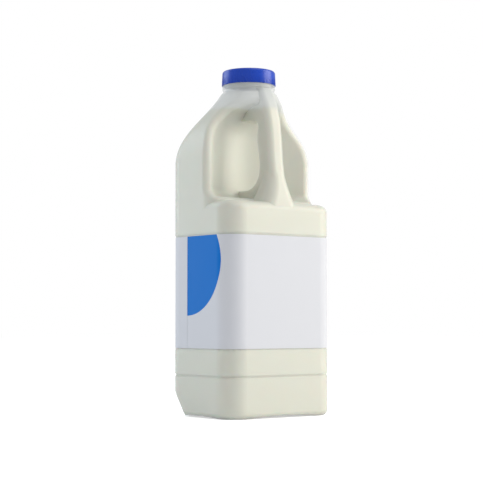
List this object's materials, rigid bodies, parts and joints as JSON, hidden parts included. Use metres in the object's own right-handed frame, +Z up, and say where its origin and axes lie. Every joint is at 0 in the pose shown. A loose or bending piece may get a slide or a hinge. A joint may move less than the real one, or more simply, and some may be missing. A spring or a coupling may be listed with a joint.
{
  "type": "plastic milk bottle",
  "caption": "Rectangular plastic milk bottle with a hollow moulded handle on its front, filled with milk to the shoulder, with a ribbed snap cap and a plain wrap-round label.",
  "frame": {"origin": "middle of the base, on the plane it stands on", "axes": "+Z up through the body, -Y towards the handle side, X across the handle face"},
  "size_m": [0.095, 0.0734, 0.2447],
  "materials": {
    "bottle": "satin",
    "milk": "smooth",
    "cap": "gloss",
    "label": "satin"
  },
  "bodies": {
    "root": {"bottle": "bottle", "milk": "milk", "cap": "cap", "label": "label"}
  },
  "joints": []
}
